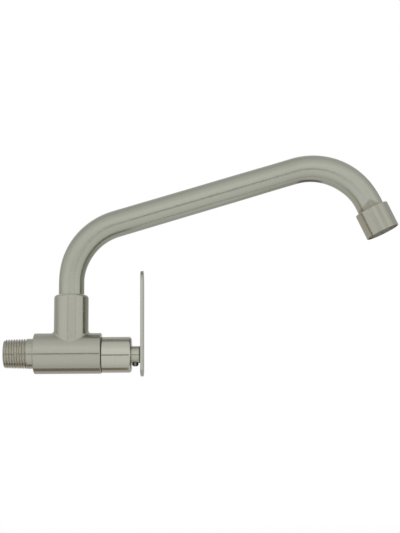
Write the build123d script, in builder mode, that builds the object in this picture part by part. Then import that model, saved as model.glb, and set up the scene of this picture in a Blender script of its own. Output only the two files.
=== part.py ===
from build123d import *
import os
from math import atan, degrees, radians, sqrt, tan

# A single cold water wall tap in brushed stainless steel, in millimetres.
# The origin is the centre of the barrel's wall-side end, on the inlet's axis.
# +X points out of the wall, +Z points up, and the spout reaches out along +X.
# The valve's own axis is parallel to the inlet's and lies a little below it.
# The lever stands upright at rest, which is closed. A quarter turn opens it.

# General clearances
running_gap = 0.06
slide_gap = 0.02
end_gap = 0.1
swivel_gap = 0.12

# Inlet, a 1/2 inch taper pipe thread of 14 turns to the inch
thread_pitch = 25.4 / 14
thread_radius = 20.955 / 2
thread_depth = 1.162
thread_taper = 1 / 32
thread_length = 16.5
thread_lead_in = 0.9
thread_half_angle = 24.5
thread_root_width = 0.24
thread_run_out = 0.5
thread_phase = 0.65
shank_length = 4.5
inlet_bore_radius = 7.25

# Barrel
barrel_radius = 14.2
barrel_length = 46.9
barrel_edge_radius = 0.8
valve_drop = 1.1
seat_depth = 33.2
seat_wall = 3.0
seat_hole_radius = 5.6
chamber_wall = 3.3
cartridge_thread_length = 10.2
thread_relief = 0.5

# Socket that carries the spout
socket_x = 25.5
socket_radius = 12.1
socket_top = 40.9
socket_shoulder_radius = 2.2
socket_fillet_radius = 2.0
socket_floor_thickness = 2.2
socket_hole_radius = 7.0
socket_lip_radius = 0.1

# Spout tube, its swells being how much its radius grows where it was bent
tube_radius = 8.95
tube_wall = 1.0
tube_engagement = 6.2
rise_above_socket = 9.45
first_bend_radius = 43.3
first_bend_swell = 0.5
slope_angle = 16.45
slope_length = 132.5
slope_end_swell = 0.3
second_bend_radius = 44.1
second_bend_swell = 0.85
nozzle_angle = 65.1
nozzle_stub = 4.7
nozzle_swell = 0.6

# Swivel tail and its seals
tail_bore_radius = 6.6
tail_spigot_length = 9.5
tail_land = 1.7
tail_upper_land = 4.9
tail_chamfer = 0.5
seal_groove_width = 2.1
seal_groove_depth = 1.5
swivel_ring_section = 0.71
base_washer_thickness = 0.5
snap_ring_thickness = 1.0
snap_ring_bite = 0.7
snap_ring_depth = 0.9
snap_ring_split = 4.0

# Aerator and the ferrule that it screws on
collar_radius = 12.2
collar_length = 18.5
collar_wall = 1.2
collar_ledge_width = 0.75
collar_mouth_wall = 0.9
collar_mouth_depth = 2.2
collar_edge_chamfer = 0.25
ferrule_length = 7.75
ferrule_step = 2.0
ferrule_inset = 0.25
aerator_washer_thickness = 2.0
insert_wall = 1.2
insert_flange_thickness = 0.6
insert_recess = 3.0
insert_ledge_width = 0.8
screen_thickness = 0.6
screen_pitch = 1.6
screen_hole = 1.1
screen_rim = 0.9
diffuser_thickness = 1.2
diffuser_hole_radius = 0.75
diffuser_hole_count = 12
diffuser_circle_radius = 6.2
diffuser_depth = 2.9

# Bonnet and the headwork below it
seam_gap = 0.3
seam_inset = 0.25
bonnet_radius = 12.5
bonnet_length = 20.7
bonnet_wall = 1.7
bonnet_thread_wall = 1.05
bonnet_thread_length = 3.5
bonnet_front_radius = 1.8
bonnet_back_radius = 0.6
bonnet_end_wall = 2.0
gasket_thickness = 0.8
gasket_seat_width = 0.9725
flange_thickness = 2.0
hexagon_across_flats = 17.0
hexagon_length = 6.0
neck_radius = 7.5
neck_inset = 4.7
nose_radius = 9.0
nose_wall = 1.4
nose_gap = 0.7

# Ceramic discs and their drive
seat_seal_length = 3.0
seat_seal_wall = 1.9
disc_thickness = 2.5
disc_port_inner = 1.9
disc_port_outer = 6.1
disc_port_angle = 80.0
disc_slot_width = 3.2
disc_slot_depth = 1.2
spindle_head_thickness = 2.0
spindle_head_width = 7.0
window_length = 7.4
window_width = 8.0
spindle_stem_radius = 5.2
spindle_collar_radius = 6.8
spindle_collar_length = 1.9
thrust_washer_thickness = 0.6
spindle_radius = 4.5
spindle_groove_depth = 1.3
spindle_groove_width = 1.9
spindle_ring_section = 0.6
spindle_ring_first = 6.0
spindle_ring_spacing = 5.5
circlip_thickness = 1.0
circlip_groove_depth = 0.7
circlip_outer_radius = 6.3
circlip_split = 3.0
spline_radius = 3.95
spline_count = 20
spline_depth = 0.3

# Handle
hub_radius = 6.0
hub_visible_length = 6.3
hub_tuck = 0.7
hub_groove_length = 1.05
hub_groove_depth = 1.5
hub_ring_inset = 0.1
hub_spigot_radius = 3.4
hub_end_wall = 1.3
hub_bonnet_gap = 0.2
plate_thickness = 2.0
plate_width = 20.0
plate_rise = 59.0
plate_foot_radius = 15.2
plate_edge_radius = 0.3
screw_radius = 2.2
screw_projection = 2.1
screw_chamfer = 0.8
screw_key_size = 2.0
screw_key_depth = 1.6

# Radii that follow from the sizes above
thread_end_radius = thread_radius - thread_length * thread_taper
chamber_radius = barrel_radius - chamber_wall
socket_bore_radius = tube_radius + swivel_gap
tail_radius = socket_bore_radius - running_gap
tail_groove_radius = tail_radius - seal_groove_depth
tube_bore_radius = tube_radius - tube_wall
nozzle_radius = tube_radius + nozzle_swell
nozzle_bore_radius = nozzle_radius - tube_wall
collar_bore_radius = collar_radius - collar_wall
collar_ledge_radius = collar_bore_radius - collar_ledge_width
collar_mouth_radius = collar_radius - collar_mouth_wall
ferrule_radius = collar_bore_radius - slide_gap
insert_radius = collar_ledge_radius - slide_gap
insert_bore_radius = insert_radius - insert_wall
screen_radius = insert_bore_radius - slide_gap
bonnet_bore_radius = bonnet_radius - bonnet_wall
bonnet_thread_radius = bonnet_radius - bonnet_thread_wall
flange_radius = bonnet_thread_radius - slide_gap
cartridge_radius = flange_radius - gasket_seat_width
nose_bore_radius = nose_radius - nose_wall
disc_radius = nose_bore_radius - end_gap
spindle_bore_radius = spindle_radius + running_gap
spindle_groove_radius = spindle_radius - spindle_groove_depth
circlip_groove_radius = spindle_radius - circlip_groove_depth
hub_bore_radius = spline_radius + slide_gap
hub_groove_radius = hub_radius - hub_groove_depth

# Stations along the inlet's axis, from the wall outwards
inlet_end = -shank_length - thread_length
seat_face = barrel_length - seat_depth
seat_back = seat_face - seat_wall
chamber_end = barrel_length - cartridge_thread_length - thread_relief
nose_front = seat_face + nose_gap
fixed_disc_start = seat_face + seat_seal_length
moving_disc_start = fixed_disc_start + disc_thickness
moving_disc_end = moving_disc_start + disc_thickness
spindle_head_start = moving_disc_end + end_gap
spindle_head_end = spindle_head_start + spindle_head_thickness
spindle_collar_start = spindle_head_end + window_length
spindle_collar_end = spindle_collar_start + spindle_collar_length
thrust_shoulder = spindle_collar_end + end_gap + thrust_washer_thickness
cartridge_thread_start = barrel_length - cartridge_thread_length
flange_start = barrel_length + gasket_thickness
flange_end = flange_start + flange_thickness
bonnet_back = barrel_length + seam_gap
bonnet_front = bonnet_back + bonnet_length
bonnet_inner_end = bonnet_front - bonnet_end_wall
housing_end = bonnet_inner_end - neck_inset
circlip_start = housing_end + end_gap
circlip_end = circlip_start + circlip_thickness
hub_back = bonnet_inner_end - hub_tuck
plate_back = bonnet_front + hub_visible_length
plate_front = plate_back + plate_thickness
hub_groove_back = plate_back - hub_groove_length
hub_bore_end = plate_back - hub_end_wall
spindle_end = hub_bore_end - end_gap
screw_x = (bonnet_front + hub_groove_back) / 2

# Heights along the swivel's axis
socket_floor = barrel_radius + socket_floor_thickness
base_washer_top = socket_floor + base_washer_thickness
tail_bottom = base_washer_top + running_gap
tail_shoulder = socket_top - tube_engagement
tail_top = tail_shoulder + tail_spigot_length
lower_groove = tail_bottom + tail_land
upper_groove = tail_shoulder - tail_upper_land - seal_groove_width
snap_ring_middle = (lower_groove + seal_groove_width + upper_groove) / 2
snap_ring_bottom = snap_ring_middle - snap_ring_thickness / 2
snap_ring_inner = tail_radius - snap_ring_depth
snap_ring_outer = socket_bore_radius + snap_ring_bite
bend_start = socket_top + rise_above_socket

# Distances down the nozzle's axis, from the collar's top
ferrule_end = ferrule_inset + ferrule_length
tube_end = ferrule_end - ferrule_step
washer_end = ferrule_end + aerator_washer_thickness
collar_ledge = washer_end + insert_flange_thickness
insert_end = collar_length - insert_recess
outlet_screen_start = insert_end - screen_thickness
diffuser_start = washer_end + diffuser_depth

# Axes and the planes that hold the turned outlines, each with X along its axis
inlet_plane = Plane.XZ
valve_plane = Plane(origin=(0, 0, -valve_drop), x_dir=(1, 0, 0), z_dir=(0, -1, 0))
swivel_plane = Plane(origin=(socket_x, 0, 0), x_dir=(0, 0, 1), z_dir=(0, -1, 0))


def turned_outline(plane, *points):
    """A closed outline of (distance along the axis, radius) points."""
    with BuildSketch(plane) as outline:
        with BuildLine():
            Polyline(*points, close=True)
        make_face()
    return outline.sketch


def ring_outline(plane, start, end, inner, outer):
    """The section of a plain ring from start to end along the axis."""
    return turned_outline(plane, (start, inner), (end, inner), (end, outer), (start, outer))


def axis_of(plane):
    """The axis that a turned outline goes round."""
    return Axis(plane.origin, plane.x_dir)


def across_valve(distance):
    """The plane across the valve's axis, at a distance out from the barrel's wall-side end."""
    return Plane(origin=(distance, 0, -valve_drop), x_dir=(0, 1, 0), z_dir=(1, 0, 0))


def round_seal(plane, groove_start, groove_width, groove_radius, section):
    """A round ring that lies in the middle of its groove, on its floor."""
    with BuildPart() as seal:
        with BuildSketch(plane):
            with Locations((groove_start + groove_width / 2, groove_radius + slide_gap + section)):
                Circle(section)
        revolve(axis=axis_of(plane))
    return seal.part


def finish(part, label):
    """Label a finished piece and write it to its own file."""
    part.label = label
    export_step(part, f"parts/{label}.step")
    print(label, round(part.volume, 1))


os.makedirs("parts", exist_ok=True)

# The thread's groove starts outside the inlet's end and runs out just before the shank
helix_start = inlet_end - thread_pitch + thread_phase
helix_length = thread_length + 1.5 * thread_pitch
groove_overrun = 0.25
groove_crest_width = thread_root_width + 2 * (thread_depth + groove_overrun) * tan(radians(thread_half_angle))
with BuildLine() as thread_path:
    Helix(
        pitch=thread_pitch,
        height=helix_length,
        radius=thread_end_radius - thread_pitch * thread_taper,
        center=(helix_start, 0, 0),
        direction=(1, 0, 0),
        cone_angle=degrees(atan(thread_taper)),
    )
thread_line = thread_path.wires()[0]
groove_plane = Plane(origin=thread_line @ 0, x_dir=(0, 0, 1), z_dir=thread_line % 0)
with BuildSketch(groove_plane) as thread_groove:
    with BuildLine():
        Polyline(
            (-thread_depth, -thread_root_width / 2),
            (-thread_depth, thread_root_width / 2),
            (groove_overrun, groove_crest_width / 2),
            (groove_overrun, -groove_crest_width / 2),
            close=True,
        )
    make_face()

with BuildPart() as thread_cutter:
    sweep(thread_groove.sketch, path=thread_line, is_frenet=True)
    run_out_cone = turned_outline(
        inlet_plane,
        (-shank_length - thread_run_out, 0),
        (-shank_length - thread_run_out, thread_radius - thread_depth - groove_overrun),
        (-shank_length, thread_radius + slide_gap),
        (-shank_length, thread_radius + thread_depth),
        (thread_pitch, thread_radius + thread_depth),
        (thread_pitch, 0),
    )
    revolve(run_out_cone, axis=axis_of(inlet_plane), mode=Mode.SUBTRACT)

# Body: inlet, barrel and socket in one casting
with BuildPart() as body:
    with BuildSketch(Plane.YZ):
        Circle(barrel_radius)
    extrude(amount=barrel_length)
    fillet(body.edges().filter_by(GeomType.CIRCLE), barrel_edge_radius)
    with BuildSketch(Plane.XY):
        with Locations((socket_x, 0)):
            Circle(socket_radius)
    extrude(amount=socket_top)
    crotch = [
        edge
        for edge in body.edges(Select.LAST)
        if edge.geom_type not in (GeomType.LINE, GeomType.CIRCLE)
    ]
    fillet(crotch, socket_fillet_radius)
    socket_rim = body.faces().sort_by(Axis.Z)[-1].edges().filter_by(GeomType.CIRCLE)
    fillet(socket_rim, socket_shoulder_radius)
    inlet_blank = turned_outline(
        inlet_plane,
        (inlet_end, 0),
        (inlet_end, thread_end_radius - thread_lead_in),
        (inlet_end + thread_lead_in, thread_end_radius),
        (-shank_length, thread_radius),
        (barrel_edge_radius, thread_radius),
        (barrel_edge_radius, 0),
    )
    revolve(inlet_blank, axis=axis_of(inlet_plane))
    add(thread_cutter.part, mode=Mode.SUBTRACT)
    inlet_bore = turned_outline(
        inlet_plane,
        (inlet_end, 0),
        (inlet_end, inlet_bore_radius),
        (seat_back, inlet_bore_radius),
        (seat_back, 0),
    )
    revolve(inlet_bore, axis=axis_of(inlet_plane), mode=Mode.SUBTRACT)
    # The seat, the valve chamber and the cartridge's thread
    valve_bore = turned_outline(
        valve_plane,
        (seat_back, 0),
        (seat_back, seat_hole_radius),
        (seat_face, seat_hole_radius),
        (seat_face, chamber_radius),
        (chamber_end, chamber_radius),
        (chamber_end, cartridge_radius + slide_gap),
        (barrel_length, cartridge_radius + slide_gap),
        (barrel_length, 0),
    )
    revolve(valve_bore, axis=axis_of(valve_plane), mode=Mode.SUBTRACT)
    socket_bore = turned_outline(
        swivel_plane,
        (socket_floor, 0),
        (socket_floor, socket_bore_radius),
        (snap_ring_bottom - end_gap, socket_bore_radius),
        (snap_ring_bottom - end_gap, snap_ring_outer + end_gap),
        (snap_ring_bottom + snap_ring_thickness + end_gap, snap_ring_outer + end_gap),
        (snap_ring_bottom + snap_ring_thickness + end_gap, socket_bore_radius),
        (socket_top - socket_lip_radius, socket_bore_radius),
        (socket_top, socket_bore_radius + socket_lip_radius),
        (socket_top, 0),
    )
    revolve(socket_bore, axis=axis_of(swivel_plane), mode=Mode.SUBTRACT)
    with BuildSketch(Plane.XY):
        with Locations((socket_x, 0)):
            Circle(socket_hole_radius)
    extrude(amount=socket_floor, mode=Mode.SUBTRACT)
finish(body.part, "body")

# Headwork housing: nose with side windows, thread, flange, hexagon and neck
with BuildPart() as headwork_housing:
    housing_outline = turned_outline(
        valve_plane,
        (nose_front, nose_bore_radius),
        (nose_front, nose_radius),
        (cartridge_thread_start, nose_radius),
        (cartridge_thread_start, cartridge_radius),
        (flange_start, cartridge_radius),
        (flange_start, flange_radius),
        (flange_end, flange_radius),
        (flange_end, neck_radius),
        (housing_end, neck_radius),
        (housing_end, spindle_bore_radius),
        (thrust_shoulder, spindle_bore_radius),
        (thrust_shoulder, nose_bore_radius),
    )
    revolve(housing_outline, axis=axis_of(valve_plane))
    with BuildSketch(across_valve(flange_end)):
        RegularPolygon(hexagon_across_flats / 2, 6, major_radius=False)
        Circle(neck_radius - running_gap, mode=Mode.SUBTRACT)
    extrude(amount=hexagon_length)
    with BuildSketch(Plane.XY.offset(-valve_drop)):
        with Locations(((spindle_head_end + spindle_collar_start) / 2, 0)):
            Rectangle(window_length, window_width)
    extrude(amount=nose_radius + end_gap, both=True, mode=Mode.SUBTRACT)
finish(headwork_housing.part, "headwork_housing")

# Fibre gasket between the barrel's end and the housing's flange
with BuildPart() as headwork_gasket:
    gasket_outline = ring_outline(
        valve_plane, barrel_length, flange_start, cartridge_radius + slide_gap, flange_radius
    )
    revolve(gasket_outline, axis=axis_of(valve_plane))
finish(headwork_gasket.part, "headwork_gasket")

# Rubber seal between the body's seat and the fixed disc
with BuildPart() as seat_seal:
    seat_seal_outline = ring_outline(
        valve_plane,
        seat_face,
        fixed_disc_start,
        nose_bore_radius - slide_gap - seat_seal_wall,
        nose_bore_radius - slide_gap,
    )
    revolve(seat_seal_outline, axis=axis_of(valve_plane))
finish(seat_seal.part, "seat_seal")


def disc_ports(start, thickness, middle_angle):
    """Two opposite sector openings through a ceramic disc."""
    with BuildPart(mode=Mode.PRIVATE) as ports:
        with BuildSketch(across_valve(start)):
            with PolarLocations(0, 2, start_angle=middle_angle):
                with BuildLine():
                    inner_arc = CenterArc((0, 0), disc_port_inner, -disc_port_angle / 2, disc_port_angle)
                    outer_arc = CenterArc((0, 0), disc_port_outer, -disc_port_angle / 2, disc_port_angle)
                    Line(inner_arc @ 0, outer_arc @ 0)
                    Line(inner_arc @ 1, outer_arc @ 1)
                make_face()
        extrude(amount=thickness)
    return ports.part


# Fixed ceramic disc, its openings to the sides
with BuildPart() as fixed_disc:
    with BuildSketch(across_valve(fixed_disc_start)):
        Circle(disc_radius)
    extrude(amount=disc_thickness)
    add(disc_ports(fixed_disc_start, disc_thickness, 0), mode=Mode.SUBTRACT)
finish(fixed_disc.part, "fixed_disc")

# Moving ceramic disc, a quarter turn away from the fixed one, slotted for the spindle
with BuildPart() as moving_disc:
    with BuildSketch(across_valve(moving_disc_start)):
        Circle(disc_radius)
    extrude(amount=disc_thickness)
    add(disc_ports(moving_disc_start, disc_thickness, 90), mode=Mode.SUBTRACT)
    with BuildSketch(across_valve(moving_disc_end - disc_slot_depth)):
        Rectangle(2 * disc_radius, disc_slot_width)
    extrude(amount=disc_slot_depth, mode=Mode.SUBTRACT)
finish(moving_disc.part, "moving_disc")

# Spindle: tongue, open head, stem, collar, two seal grooves, circlip groove, splines
first_spindle_groove = thrust_shoulder + spindle_ring_first
second_spindle_groove = first_spindle_groove + spindle_ring_spacing
with BuildPart() as spindle:
    spindle_outline = turned_outline(
        valve_plane,
        (spindle_head_end, 0),
        (spindle_head_end, spindle_stem_radius),
        (spindle_collar_start, spindle_stem_radius),
        (spindle_collar_start, spindle_collar_radius),
        (spindle_collar_end, spindle_collar_radius),
        (spindle_collar_end, spindle_radius),
        (first_spindle_groove, spindle_radius),
        (first_spindle_groove, spindle_groove_radius),
        (first_spindle_groove + spindle_groove_width, spindle_groove_radius),
        (first_spindle_groove + spindle_groove_width, spindle_radius),
        (second_spindle_groove, spindle_radius),
        (second_spindle_groove, spindle_groove_radius),
        (second_spindle_groove + spindle_groove_width, spindle_groove_radius),
        (second_spindle_groove + spindle_groove_width, spindle_radius),
        (circlip_start, spindle_radius),
        (circlip_start, circlip_groove_radius),
        (circlip_end, circlip_groove_radius),
        (circlip_end, spline_radius),
        (spindle_end, spline_radius),
        (spindle_end, 0),
    )
    revolve(spindle_outline, axis=axis_of(valve_plane))
    with BuildSketch(across_valve(spindle_head_start)):
        Circle(disc_radius)
        Rectangle(2 * disc_radius, spindle_head_width, mode=Mode.INTERSECT)
    extrude(amount=spindle_head_thickness)
    with BuildSketch(across_valve(spindle_head_start)):
        Circle(disc_radius)
        Rectangle(2 * disc_radius, disc_slot_width - 2 * running_gap, mode=Mode.INTERSECT)
    extrude(amount=-disc_slot_depth)
    with BuildSketch(across_valve(circlip_end)):
        with PolarLocations(spline_radius, spline_count):
            RegularPolygon(spline_depth, 4)
    extrude(amount=spindle_end - circlip_end, mode=Mode.SUBTRACT)
finish(spindle.part, "spindle")

# Rubber rings in the spindle's grooves
spindle_rings = {"spindle_o_ring_inner": first_spindle_groove, "spindle_o_ring_outer": second_spindle_groove}
for ring_name, groove_start in spindle_rings.items():
    spindle_ring = round_seal(
        valve_plane, groove_start, spindle_groove_width, spindle_groove_radius, spindle_ring_section
    )
    finish(spindle_ring, ring_name)

# Slip washer between the spindle's collar and the housing's shoulder
with BuildPart() as spindle_thrust_washer:
    thrust_outline = ring_outline(
        valve_plane,
        thrust_shoulder - thrust_washer_thickness,
        thrust_shoulder,
        spindle_bore_radius,
        disc_radius,
    )
    revolve(thrust_outline, axis=axis_of(valve_plane))
finish(spindle_thrust_washer.part, "spindle_thrust_washer")

# Split ring that holds the spindle in the housing
with BuildPart() as spindle_circlip:
    circlip_outline = ring_outline(
        valve_plane, circlip_start, circlip_end, circlip_groove_radius, circlip_outer_radius
    )
    revolve(circlip_outline, axis=axis_of(valve_plane))
    with BuildSketch(across_valve(circlip_start)):
        with Locations((0, circlip_outer_radius)):
            Rectangle(circlip_split, 2 * (circlip_outer_radius - circlip_groove_radius + running_gap))
    extrude(amount=circlip_thickness, mode=Mode.SUBTRACT)
finish(spindle_circlip.part, "spindle_circlip")

# Bonnet: the round sleeve that hides the headwork, screwed on its flange
with BuildPart() as bonnet:
    bonnet_outline = turned_outline(
        valve_plane,
        (bonnet_back, bonnet_thread_radius),
        (bonnet_back, bonnet_radius),
        (bonnet_front, bonnet_radius),
        (bonnet_front, hub_radius + hub_bonnet_gap),
        (bonnet_inner_end, hub_radius + hub_bonnet_gap),
        (bonnet_inner_end, bonnet_bore_radius),
        (bonnet_back + bonnet_thread_length, bonnet_bore_radius),
        (bonnet_back + bonnet_thread_length, bonnet_thread_radius),
    )
    revolve(bonnet_outline, axis=axis_of(valve_plane))
    front_rim = bonnet.faces().filter_by(Axis.X).sort_by(Axis.X)[-1].outer_wire().edges()
    fillet(front_rim, bonnet_front_radius)
    back_rim = bonnet.faces().filter_by(Axis.X).sort_by(Axis.X)[0].outer_wire().edges()
    fillet(back_rim, bonnet_back_radius)
finish(bonnet.part, "bonnet")

# Dark ring in the seam between barrel and bonnet
with BuildPart() as bonnet_seal:
    seam_outline = ring_outline(
        valve_plane, barrel_length, bonnet_back, flange_radius + end_gap, bonnet_radius - seam_inset
    )
    revolve(seam_outline, axis=axis_of(valve_plane))
finish(bonnet_seal.part, "bonnet_seal")

# Hub: bored for the spindle, grooved beside the plate, drilled below for the set screw
with BuildPart() as handle_hub:
    hub_outline = turned_outline(
        valve_plane,
        (hub_back, hub_bore_radius),
        (hub_back, hub_radius),
        (hub_groove_back, hub_radius),
        (hub_groove_back, hub_groove_radius),
        (plate_back, hub_groove_radius),
        (plate_back, hub_spigot_radius),
        (plate_front, hub_spigot_radius),
        (plate_front, 0),
        (hub_bore_end, 0),
        (hub_bore_end, hub_bore_radius),
    )
    revolve(hub_outline, axis=axis_of(valve_plane))
    with BuildSketch(Plane.XY.offset(-valve_drop)):
        with Locations((screw_x, 0)):
            Circle(screw_radius + slide_gap)
    extrude(amount=-hub_radius, mode=Mode.SUBTRACT)
finish(handle_hub.part, "handle_hub")

# Dark ring in the hub's groove, squeezed against the plate
with BuildPart() as hub_ring:
    hub_ring_outline = ring_outline(
        valve_plane, hub_groove_back, plate_back, hub_groove_radius + slide_gap, hub_radius - hub_ring_inset
    )
    revolve(hub_ring_outline, axis=axis_of(valve_plane))
finish(hub_ring.part, "hub_ring")

# Plate lever: full round at the top, its foot an arc about the hub's axis
plate_half_width = plate_width / 2
foot_corner_drop = sqrt(plate_foot_radius**2 - plate_half_width**2)
plate_top_centre = plate_rise - plate_half_width
with BuildPart() as handle_plate:
    with BuildSketch(across_valve(plate_back)):
        with BuildLine():
            Line((plate_half_width, -foot_corner_drop), (plate_half_width, plate_top_centre))
            RadiusArc(
                (plate_half_width, plate_top_centre),
                (-plate_half_width, plate_top_centre),
                -plate_half_width,
            )
            Line((-plate_half_width, plate_top_centre), (-plate_half_width, -foot_corner_drop))
            ThreePointArc(
                (-plate_half_width, -foot_corner_drop),
                (0, -plate_foot_radius),
                (plate_half_width, -foot_corner_drop),
            )
        make_face()
        Circle(hub_spigot_radius + slide_gap, mode=Mode.SUBTRACT)
    extrude(amount=plate_thickness)
    rim_faces = handle_plate.faces().filter_by(Axis.X)
    rim_edges = [edge for face in rim_faces for edge in face.outer_wire().edges()]
    fillet(rim_edges, plate_edge_radius)
finish(handle_plate.part, "handle_plate")

# Set screw: bears on the spline from below, with a hexagon socket in its free end
with BuildPart() as handle_screw:
    with BuildSketch(Plane.XY.offset(-valve_drop - hub_bore_radius)):
        with Locations((screw_x, 0)):
            Circle(screw_radius)
    extrude(amount=-(hub_radius + screw_projection - hub_bore_radius))
    chamfer(handle_screw.edges().group_by(Axis.Z)[0], screw_chamfer)
    with BuildSketch(handle_screw.faces().sort_by(Axis.Z)[0]):
        RegularPolygon(screw_key_size / 2, 6, major_radius=False)
    extrude(amount=-screw_key_depth, mode=Mode.SUBTRACT)
finish(handle_screw.part, "handle_screw")

# The spout's centreline: up, forward in a wide bend, along the slope, down to the nozzle
with BuildLine(Plane.XZ) as spout_path:
    first_bend = JernArc((socket_x, bend_start), (0, 1), first_bend_radius, slope_angle - 90)
    slope = PolarLine(first_bend @ 1, slope_length, slope_angle)
    second_bend = JernArc(slope @ 1, slope % 1, second_bend_radius, -slope_angle - nozzle_angle)
spout_line = spout_path.wires()[0]
nozzle_direction = second_bend % 1
collar_top = (second_bend @ 1) + nozzle_direction * nozzle_stub
nozzle_plane = Plane(origin=collar_top, x_dir=nozzle_direction, z_dir=(0, -1, 0))


def swell_at(place, start, middle, end):
    """The tube's swell at a place from 0 to 1 on a stretch, even between start, middle and end."""
    if place < 0.5:
        return start + (middle - start) * 2 * place
    return middle + (end - middle) * (2 * place - 1)


# The swell at the start, middle and end of each stretch, and the places where it is set
slope_middle_swell = (first_bend_swell + slope_end_swell) / 2
stretch_swells = [
    (first_bend, (0, first_bend_swell, first_bend_swell)),
    (slope, (first_bend_swell, slope_middle_swell, slope_end_swell)),
    (second_bend, (slope_end_swell, second_bend_swell, nozzle_swell)),
]
tube_stations = [
    (stretch, place, swell_at(place, *swells))
    for stretch, swells in stretch_swells
    for place in (0, 0.25, 0.5, 0.75)
]
tube_stations.append((second_bend, 1, nozzle_swell))


def tube_disc(stretch, place, radius):
    """A disc across the spout's centreline."""
    with BuildSketch(Plane(origin=stretch @ place, x_dir=(0, 1, 0), z_dir=stretch % place)) as disc:
        Circle(radius)
    return disc.sketch


def fill_spout(radius, mode):
    """The leg, the bent stretch and the nozzle's stub as one rod that adds or cuts."""
    extrude(tube_disc(first_bend, 0, radius), amount=tail_shoulder - bend_start, mode=mode)
    bent_discs = [tube_disc(stretch, place, radius + swell) for stretch, place, swell in tube_stations]
    sweep(sections=bent_discs, path=spout_line, multisection=True, mode=mode)
    extrude(tube_disc(second_bend, 1, radius + nozzle_swell), amount=nozzle_stub + tube_end, mode=mode)


# Spout tube
with BuildPart() as spout_tube:
    fill_spout(tube_radius, Mode.ADD)
    fill_spout(tube_bore_radius, Mode.SUBTRACT)
finish(spout_tube.part, "spout_tube")

# Swivel tail, brazed into the tube's foot
spigot_radius = tube_bore_radius - slide_gap
snap_groove_radius = snap_ring_inner - end_gap
with BuildPart() as spout_tail:
    tail_outline = turned_outline(
        swivel_plane,
        (tail_bottom, tail_bore_radius),
        (tail_bottom, tail_radius - tail_chamfer),
        (tail_bottom + tail_chamfer, tail_radius),
        (lower_groove, tail_radius),
        (lower_groove, tail_groove_radius),
        (lower_groove + seal_groove_width, tail_groove_radius),
        (lower_groove + seal_groove_width, tail_radius),
        (snap_ring_bottom - end_gap, tail_radius),
        (snap_ring_bottom - end_gap, snap_groove_radius),
        (snap_ring_bottom + snap_ring_thickness + end_gap, snap_groove_radius),
        (snap_ring_bottom + snap_ring_thickness + end_gap, tail_radius),
        (upper_groove, tail_radius),
        (upper_groove, tail_groove_radius),
        (upper_groove + seal_groove_width, tail_groove_radius),
        (upper_groove + seal_groove_width, tail_radius),
        (tail_shoulder, tail_radius),
        (tail_shoulder, spigot_radius),
        (tail_top, spigot_radius),
        (tail_top, tail_bore_radius),
    )
    revolve(tail_outline, axis=axis_of(swivel_plane))
finish(spout_tail.part, "spout_tail")

# Rubber rings in the tail's grooves
for ring_name, groove_start in {"spout_o_ring_lower": lower_groove, "spout_o_ring_upper": upper_groove}.items():
    swivel_ring = round_seal(
        swivel_plane, groove_start, seal_groove_width, tail_groove_radius, swivel_ring_section
    )
    finish(swivel_ring, ring_name)

# Split ring that keeps the tail down in the socket
with BuildPart() as spout_snap_ring:
    snap_outline = ring_outline(
        swivel_plane,
        snap_ring_bottom,
        snap_ring_bottom + snap_ring_thickness,
        snap_ring_inner,
        snap_ring_outer,
    )
    revolve(snap_outline, axis=axis_of(swivel_plane))
    with BuildSketch(Plane.XY.offset(snap_ring_bottom)):
        with Locations((socket_x - snap_ring_outer, 0)):
            Rectangle(2 * (snap_ring_outer - snap_ring_inner + running_gap), snap_ring_split)
    extrude(amount=snap_ring_thickness, mode=Mode.SUBTRACT)
finish(spout_snap_ring.part, "spout_snap_ring")

# Slip washer under the tail
with BuildPart() as spout_base_washer:
    base_outline = ring_outline(
        swivel_plane,
        socket_floor,
        base_washer_top,
        socket_hole_radius,
        socket_bore_radius - running_gap,
    )
    revolve(base_outline, axis=axis_of(swivel_plane))
finish(spout_base_washer.part, "spout_base_washer")

# Threaded ferrule, brazed on the tube's end
with BuildPart() as nozzle_ferrule:
    ferrule_outline = turned_outline(
        nozzle_plane,
        (ferrule_inset, nozzle_radius + slide_gap),
        (ferrule_inset, ferrule_radius),
        (ferrule_end, ferrule_radius),
        (ferrule_end, nozzle_bore_radius),
        (tube_end, nozzle_bore_radius),
        (tube_end, nozzle_radius + slide_gap),
    )
    revolve(ferrule_outline, axis=axis_of(nozzle_plane))
finish(nozzle_ferrule.part, "nozzle_ferrule")

# Aerator housing: the plain collar that shows, opened wider at its mouth
with BuildPart() as aerator_housing:
    housing_section = turned_outline(
        nozzle_plane,
        (0, collar_bore_radius),
        (0, collar_radius - collar_edge_chamfer),
        (collar_edge_chamfer, collar_radius),
        (collar_length - collar_edge_chamfer, collar_radius),
        (collar_length, collar_radius - collar_edge_chamfer),
        (collar_length, collar_mouth_radius),
        (collar_length - collar_mouth_depth, collar_mouth_radius),
        (collar_length - collar_mouth_depth, collar_ledge_radius),
        (collar_ledge, collar_ledge_radius),
        (collar_ledge, collar_bore_radius),
    )
    revolve(housing_section, axis=axis_of(nozzle_plane))
finish(aerator_housing.part, "aerator_housing")

# Rubber washer between ferrule and insert
with BuildPart() as aerator_washer:
    washer_outline = ring_outline(
        nozzle_plane, ferrule_end, washer_end, insert_bore_radius - insert_ledge_width, ferrule_radius
    )
    revolve(washer_outline, axis=axis_of(nozzle_plane))
finish(aerator_washer.part, "aerator_washer")

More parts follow.
